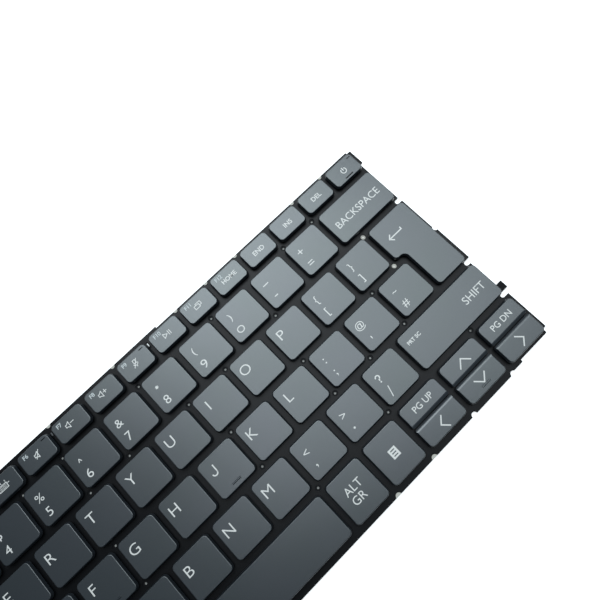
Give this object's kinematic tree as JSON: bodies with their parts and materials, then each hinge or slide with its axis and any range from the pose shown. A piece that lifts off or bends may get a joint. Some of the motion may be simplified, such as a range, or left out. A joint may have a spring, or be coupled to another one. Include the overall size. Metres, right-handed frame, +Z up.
{
  "type": "laptop replacement keyboard",
  "caption": "Thin black laptop keyboard module: caps on scissors and rubber domes over a steel plate, with an L-shaped enter key and half-height arrow keys.",
  "frame": {"origin": "under the middle of the base plate, on the bottom face of the back film", "axes": "+X right along the key rows, +Y away from the typist, +Z up out of the key tops"},
  "size_m": [0.2794, 0.1082, 0.0045],
  "materials": {
    "plate_black": "satin black coat on thin steel",
    "membrane_black": "black printed film",
    "dome_rubber": "milky silicone",
    "scissor_white": "moulded, fine matte",
    "bar_steel": "drawn wire",
    "guide_clear": "clear sheet",
    "film_black": "black film",
    "cap_black": "fine soft-touch texture"
  },
  "bodies": {
    "chassis": {"base_plate": "plate_black", "circuit_membrane": "membrane_black", "rubber_domes": "dome_rubber", "outer_scissor_frames": "scissor_white", "inner_scissor_frames": "scissor_white", "stabiliser_bars": "bar_steel", "light_guide": "guide_clear", "back_film": "film_black", "left_keycaps": "cap_black"},
    "key_f6": {"key_f6": "cap_black"},
    "key_f7": {"key_f7": "cap_black"},
    "key_f8": {"key_f8": "cap_black"},
    "key_f9": {"key_f9": "cap_black"},
    "key_f10": {"key_f10": "cap_black"},
    "key_f11": {"key_f11": "cap_black"},
    "key_f12": {"key_f12": "cap_black"},
    "key_end": {"key_end": "cap_black"},
    "key_insert": {"key_insert": "cap_black"},
    "key_delete": {"key_delete": "cap_black"},
    "key_power": {"key_power": "cap_black"},
    "key_5": {"key_5": "cap_black"},
    "key_6": {"key_6": "cap_black"},
    "key_7": {"key_7": "cap_black"},
    "key_8": {"key_8": "cap_black"},
    "key_9": {"key_9": "cap_black"},
    "key_0": {"key_0": "cap_black"},
    "key_minus": {"key_minus": "cap_black"},
    "key_equals": {"key_equals": "cap_black"},
    "key_backspace": {"key_backspace": "cap_black"},
    "key_t": {"key_t": "cap_black"},
    "key_y": {"key_y": "cap_black"},
    "key_u": {"key_u": "cap_black"},
    "key_i": {"key_i": "cap_black"},
    "key_o": {"key_o": "cap_black"},
    "key_p": {"key_p": "cap_black"},
    "key_left_bracket": {"key_left_bracket": "cap_black"},
    "key_right_bracket": {"key_right_bracket": "cap_black"},
    "key_enter": {"key_enter": "cap_black"},
    "key_h": {"key_h": "cap_black"},
    "key_j": {"key_j": "cap_black"},
    "key_k": {"key_k": "cap_black"},
    "key_l": {"key_l": "cap_black"},
    "key_semicolon": {"key_semicolon": "cap_black"},
    "key_apostrophe": {"key_apostrophe": "cap_black"},
    "key_hash": {"key_hash": "cap_black"},
    "key_n": {"key_n": "cap_black"},
    "key_m": {"key_m": "cap_black"},
    "key_comma": {"key_comma": "cap_black"},
    "key_period": {"key_period": "cap_black"},
    "key_slash": {"key_slash": "cap_black"},
    "key_right_shift": {"key_right_shift": "cap_black"},
    "key_space": {"key_space": "cap_black"},
    "key_alt_gr": {"key_alt_gr": "cap_black"},
    "key_assist": {"key_assist": "cap_black"},
    "key_page_up": {"key_page_up": "cap_black"},
    "key_left": {"key_left": "cap_black"},
    "key_up": {"key_up": "cap_black"},
    "key_down": {"key_down": "cap_black"},
    "key_page_down": {"key_page_down": "cap_black"},
    "key_right": {"key_right": "cap_black"}
  },
  "joints": [
    {"name": "press_f6", "type": "slide", "parent": "chassis", "child": "key_f6", "axis": [0, 0, -1], "range_m": [0, 0.0013], "stiffness_N_per_m": 150, "springref_m": -0.0005, "deforming": ["rubber_domes", "outer_scissor_frames", "inner_scissor_frames"]},
    {"name": "press_f7", "type": "slide", "parent": "chassis", "child": "key_f7", "axis": [0, 0, -1], "range_m": [0, 0.0013], "stiffness_N_per_m": 150, "springref_m": -0.0005, "deforming": ["rubber_domes", "outer_scissor_frames", "inner_scissor_frames"]},
    {"name": "press_f8", "type": "slide", "parent": "chassis", "child": "key_f8", "axis": [0, 0, -1], "range_m": [0, 0.0013], "stiffness_N_per_m": 150, "springref_m": -0.0005, "deforming": ["rubber_domes", "outer_scissor_frames", "inner_scissor_frames"]},
    {"name": "press_f9", "type": "slide", "parent": "chassis", "child": "key_f9", "axis": [0, 0, -1], "range_m": [0, 0.0013], "stiffness_N_per_m": 150, "springref_m": -0.0005, "deforming": ["rubber_domes", "outer_scissor_frames", "inner_scissor_frames"]},
    {"name": "press_f10", "type": "slide", "parent": "chassis", "child": "key_f10", "axis": [0, 0, -1], "range_m": [0, 0.0013], "stiffness_N_per_m": 150, "springref_m": -0.0005, "deforming": ["rubber_domes", "outer_scissor_frames", "inner_scissor_frames"]},
    {"name": "press_f11", "type": "slide", "parent": "chassis", "child": "key_f11", "axis": [0, 0, -1], "range_m": [0, 0.0013], "stiffness_N_per_m": 150, "springref_m": -0.0005, "deforming": ["rubber_domes", "outer_scissor_frames", "inner_scissor_frames"]},
    {"name": "press_f12", "type": "slide", "parent": "chassis", "child": "key_f12", "axis": [0, 0, -1], "range_m": [0, 0.0013], "stiffness_N_per_m": 150, "springref_m": -0.0005, "deforming": ["rubber_domes", "outer_scissor_frames", "inner_scissor_frames"]},
    {"name": "press_end", "type": "slide", "parent": "chassis", "child": "key_end", "axis": [0, 0, -1], "range_m": [0, 0.0013], "stiffness_N_per_m": 150, "springref_m": -0.0005, "deforming": ["rubber_domes", "outer_scissor_frames", "inner_scissor_frames"]},
    {"name": "press_insert", "type": "slide", "parent": "chassis", "child": "key_insert", "axis": [0, 0, -1], "range_m": [0, 0.0013], "stiffness_N_per_m": 150, "springref_m": -0.0005, "deforming": ["rubber_domes", "outer_scissor_frames", "inner_scissor_frames"]},
    {"name": "press_delete", "type": "slide", "parent": "chassis", "child": "key_delete", "axis": [0, 0, -1], "range_m": [0, 0.0013], "stiffness_N_per_m": 150, "springref_m": -0.0005, "deforming": ["rubber_domes", "outer_scissor_frames", "inner_scissor_frames"]},
    {"name": "press_power", "type": "slide", "parent": "chassis", "child": "key_power", "axis": [0, 0, -1], "range_m": [0, 0.0013], "stiffness_N_per_m": 150, "springref_m": -0.0005, "deforming": ["rubber_domes", "outer_scissor_frames", "inner_scissor_frames"]},
    {"name": "press_5", "type": "slide", "parent": "chassis", "child": "key_5", "axis": [0, 0, -1], "range_m": [0, 0.0013], "stiffness_N_per_m": 150, "springref_m": -0.0005, "deforming": ["rubber_domes", "outer_scissor_frames", "inner_scissor_frames"]},
    {"name": "press_6", "type": "slide", "parent": "chassis", "child": "key_6", "axis": [0, 0, -1], "range_m": [0, 0.0013], "stiffness_N_per_m": 150, "springref_m": -0.0005, "deforming": ["rubber_domes", "outer_scissor_frames", "inner_scissor_frames"]},
    {"name": "press_7", "type": "slide", "parent": "chassis", "child": "key_7", "axis": [0, 0, -1], "range_m": [0, 0.0013], "stiffness_N_per_m": 150, "springref_m": -0.0005, "deforming": ["rubber_domes", "outer_scissor_frames", "inner_scissor_frames"]},
    {"name": "press_8", "type": "slide", "parent": "chassis", "child": "key_8", "axis": [0, 0, -1], "range_m": [0, 0.0013], "stiffness_N_per_m": 150, "springref_m": -0.0005, "deforming": ["rubber_domes", "outer_scissor_frames", "inner_scissor_frames"]},
    {"name": "press_9", "type": "slide", "parent": "chassis", "child": "key_9", "axis": [0, 0, -1], "range_m": [0, 0.0013], "stiffness_N_per_m": 150, "springref_m": -0.0005, "deforming": ["rubber_domes", "outer_scissor_frames", "inner_scissor_frames"]},
    {"name": "press_0", "type": "slide", "parent": "chassis", "child": "key_0", "axis": [0, 0, -1], "range_m": [0, 0.0013], "stiffness_N_per_m": 150, "springref_m": -0.0005, "deforming": ["rubber_domes", "outer_scissor_frames", "inner_scissor_frames"]},
    {"name": "press_minus", "type": "slide", "parent": "chassis", "child": "key_minus", "axis": [0, 0, -1], "range_m": [0, 0.0013], "stiffness_N_per_m": 150, "springref_m": -0.0005, "deforming": ["rubber_domes", "outer_scissor_frames", "inner_scissor_frames"]},
    {"name": "press_equals", "type": "slide", "parent": "chassis", "child": "key_equals", "axis": [0, 0, -1], "range_m": [0, 0.0013], "stiffness_N_per_m": 150, "springref_m": -0.0005, "deforming": ["rubber_domes", "outer_scissor_frames", "inner_scissor_frames"]},
    {"name": "press_backspace", "type": "slide", "parent": "chassis", "child": "key_backspace", "axis": [0, 0, -1], "range_m": [0, 0.0013], "stiffness_N_per_m": 150, "springref_m": -0.0005, "deforming": ["rubber_domes", "outer_scissor_frames", "inner_scissor_frames", "stabiliser_bars"]},
    {"name": "press_t", "type": "slide", "parent": "chassis", "child": "key_t", "axis": [0, 0, -1], "range_m": [0, 0.0013], "stiffness_N_per_m": 150, "springref_m": -0.0005, "deforming": ["rubber_domes", "outer_scissor_frames", "inner_scissor_frames"]},
    {"name": "press_y", "type": "slide", "parent": "chassis", "child": "key_y", "axis": [0, 0, -1], "range_m": [0, 0.0013], "stiffness_N_per_m": 150, "springref_m": -0.0005, "deforming": ["rubber_domes", "outer_scissor_frames", "inner_scissor_frames"]},
    {"name": "press_u", "type": "slide", "parent": "chassis", "child": "key_u", "axis": [0, 0, -1], "range_m": [0, 0.0013], "stiffness_N_per_m": 150, "springref_m": -0.0005, "deforming": ["rubber_domes", "outer_scissor_frames", "inner_scissor_frames"]},
    {"name": "press_i", "type": "slide", "parent": "chassis", "child": "key_i", "axis": [0, 0, -1], "range_m": [0, 0.0013], "stiffness_N_per_m": 150, "springref_m": -0.0005, "deforming": ["rubber_domes", "outer_scissor_frames", "inner_scissor_frames"]},
    {"name": "press_o", "type": "slide", "parent": "chassis", "child": "key_o", "axis": [0, 0, -1], "range_m": [0, 0.0013], "stiffness_N_per_m": 150, "springref_m": -0.0005, "deforming": ["rubber_domes", "outer_scissor_frames", "inner_scissor_frames"]},
    {"name": "press_p", "type": "slide", "parent": "chassis", "child": "key_p", "axis": [0, 0, -1], "range_m": [0, 0.0013], "stiffness_N_per_m": 150, "springref_m": -0.0005, "deforming": ["rubber_domes", "outer_scissor_frames", "inner_scissor_frames"]},
    {"name": "press_left_bracket", "type": "slide", "parent": "chassis", "child": "key_left_bracket", "axis": [0, 0, -1], "range_m": [0, 0.0013], "stiffness_N_per_m": 150, "springref_m": -0.0005, "deforming": ["rubber_domes", "outer_scissor_frames", "inner_scissor_frames"]},
    {"name": "press_right_bracket", "type": "slide", "parent": "chassis", "child": "key_right_bracket", "axis": [0, 0, -1], "range_m": [0, 0.0013], "stiffness_N_per_m": 150, "springref_m": -0.0005, "deforming": ["rubber_domes", "outer_scissor_frames", "inner_scissor_frames"]},
    {"name": "press_enter", "type": "slide", "parent": "chassis", "child": "key_enter", "axis": [0, 0, -1], "range_m": [0, 0.0013], "stiffness_N_per_m": 150, "springref_m": -0.0005, "deforming": ["rubber_domes", "outer_scissor_frames", "inner_scissor_frames", "stabiliser_bars"]},
    {"name": "press_h", "type": "slide", "parent": "chassis", "child": "key_h", "axis": [0, 0, -1], "range_m": [0, 0.0013], "stiffness_N_per_m": 150, "springref_m": -0.0005, "deforming": ["rubber_domes", "outer_scissor_frames", "inner_scissor_frames"]},
    {"name": "press_j", "type": "slide", "parent": "chassis", "child": "key_j", "axis": [0, 0, -1], "range_m": [0, 0.0013], "stiffness_N_per_m": 150, "springref_m": -0.0005, "deforming": ["rubber_domes", "outer_scissor_frames", "inner_scissor_frames"]},
    {"name": "press_k", "type": "slide", "parent": "chassis", "child": "key_k", "axis": [0, 0, -1], "range_m": [0, 0.0013], "stiffness_N_per_m": 150, "springref_m": -0.0005, "deforming": ["rubber_domes", "outer_scissor_frames", "inner_scissor_frames"]},
    {"name": "press_l", "type": "slide", "parent": "chassis", "child": "key_l", "axis": [0, 0, -1], "range_m": [0, 0.0013], "stiffness_N_per_m": 150, "springref_m": -0.0005, "deforming": ["rubber_domes", "outer_scissor_frames", "inner_scissor_frames"]},
    {"name": "press_semicolon", "type": "slide", "parent": "chassis", "child": "key_semicolon", "axis": [0, 0, -1], "range_m": [0, 0.0013], "stiffness_N_per_m": 150, "springref_m": -0.0005, "deforming": ["rubber_domes", "outer_scissor_frames", "inner_scissor_frames"]},
    {"name": "press_apostrophe", "type": "slide", "parent": "chassis", "child": "key_apostrophe", "axis": [0, 0, -1], "range_m": [0, 0.0013], "stiffness_N_per_m": 150, "springref_m": -0.0005, "deforming": ["rubber_domes", "outer_scissor_frames", "inner_scissor_frames"]},
    {"name": "press_hash", "type": "slide", "parent": "chassis", "child": "key_hash", "axis": [0, 0, -1], "range_m": [0, 0.0013], "stiffness_N_per_m": 150, "springref_m": -0.0005, "deforming": ["rubber_domes", "outer_scissor_frames", "inner_scissor_frames"]},
    {"name": "press_n", "type": "slide", "parent": "chassis", "child": "key_n", "axis": [0, 0, -1], "range_m": [0, 0.0013], "stiffness_N_per_m": 150, "springref_m": -0.0005, "deforming": ["rubber_domes", "outer_scissor_frames", "inner_scissor_frames"]},
    {"name": "press_m", "type": "slide", "parent": "chassis", "child": "key_m", "axis": [0, 0, -1], "range_m": [0, 0.0013], "stiffness_N_per_m": 150, "springref_m": -0.0005, "deforming": ["rubber_domes", "outer_scissor_frames", "inner_scissor_frames"]},
    {"name": "press_comma", "type": "slide", "parent": "chassis", "child": "key_comma", "axis": [0, 0, -1], "range_m": [0, 0.0013], "stiffness_N_per_m": 150, "springref_m": -0.0005, "deforming": ["rubber_domes", "outer_scissor_frames", "inner_scissor_frames"]},
    {"name": "press_period", "type": "slide", "parent": "chassis", "child": "key_period", "axis": [0, 0, -1], "range_m": [0, 0.0013], "stiffness_N_per_m": 150, "springref_m": -0.0005, "deforming": ["rubber_domes", "outer_scissor_frames", "inner_scissor_frames"]},
    {"name": "press_slash", "type": "slide", "parent": "chassis", "child": "key_slash", "axis": [0, 0, -1], "range_m": [0, 0.0013], "stiffness_N_per_m": 150, "springref_m": -0.0005, "deforming": ["rubber_domes", "outer_scissor_frames", "inner_scissor_frames"]},
    {"name": "press_right_shift", "type": "slide", "parent": "chassis", "child": "key_right_shift", "axis": [0, 0, -1], "range_m": [0, 0.0013], "stiffness_N_per_m": 150, "springref_m": -0.0005, "deforming": ["rubber_domes", "outer_scissor_frames", "inner_scissor_frames", "stabiliser_bars"]},
    {"name": "press_space", "type": "slide", "parent": "chassis", "child": "key_space", "axis": [0, 0, -1], "range_m": [0, 0.0013], "stiffness_N_per_m": 150, "springref_m": -0.0005, "deforming": ["rubber_domes", "outer_scissor_frames", "inner_scissor_frames", "stabiliser_bars"]},
    {"name": "press_alt_gr", "type": "slide", "parent": "chassis", "child": "key_alt_gr", "axis": [0, 0, -1], "range_m": [0, 0.0013], "stiffness_N_per_m": 150, "springref_m": -0.0005, "deforming": ["rubber_domes", "outer_scissor_frames", "inner_scissor_frames"]},
    {"name": "press_assist", "type": "slide", "parent": "chassis", "child": "key_assist", "axis": [0, 0, -1], "range_m": [0, 0.0013], "stiffness_N_per_m": 150, "springref_m": -0.0005, "deforming": ["rubber_domes", "outer_scissor_frames", "inner_scissor_frames"]},
    {"name": "press_page_up", "type": "slide", "parent": "chassis", "child": "key_page_up", "axis": [0, 0, -1], "range_m": [0, 0.0013], "stiffness_N_per_m": 150, "springref_m": -0.0005, "deforming": ["rubber_domes", "outer_scissor_frames", "inner_scissor_frames"]},
    {"name": "press_left", "type": "slide", "parent": "chassis", "child": "key_left", "axis": [0, 0, -1], "range_m": [0, 0.0013], "stiffness_N_per_m": 150, "springref_m": -0.0005, "deforming": ["rubber_domes", "outer_scissor_frames", "inner_scissor_frames"]},
    {"name": "press_up", "type": "slide", "parent": "chassis", "child": "key_up", "axis": [0, 0, -1], "range_m": [0, 0.0013], "stiffness_N_per_m": 150, "springref_m": -0.0005, "deforming": ["rubber_domes", "outer_scissor_frames", "inner_scissor_frames"]},
    {"name": "press_down", "type": "slide", "parent": "chassis", "child": "key_down", "axis": [0, 0, -1], "range_m": [0, 0.0013], "stiffness_N_per_m": 150, "springref_m": -0.0005, "deforming": ["rubber_domes", "outer_scissor_frames", "inner_scissor_frames"]},
    {"name": "press_page_down", "type": "slide", "parent": "chassis", "child": "key_page_down", "axis": [0, 0, -1], "range_m": [0, 0.0013], "stiffness_N_per_m": 150, "springref_m": -0.0005, "deforming": ["rubber_domes", "outer_scissor_frames", "inner_scissor_frames"]},
    {"name": "press_right", "type": "slide", "parent": "chassis", "child": "key_right", "axis": [0, 0, -1], "range_m": [0, 0.0013], "stiffness_N_per_m": 150, "springref_m": -0.0005, "deforming": ["rubber_domes", "outer_scissor_frames", "inner_scissor_frames"]}
  ]
}
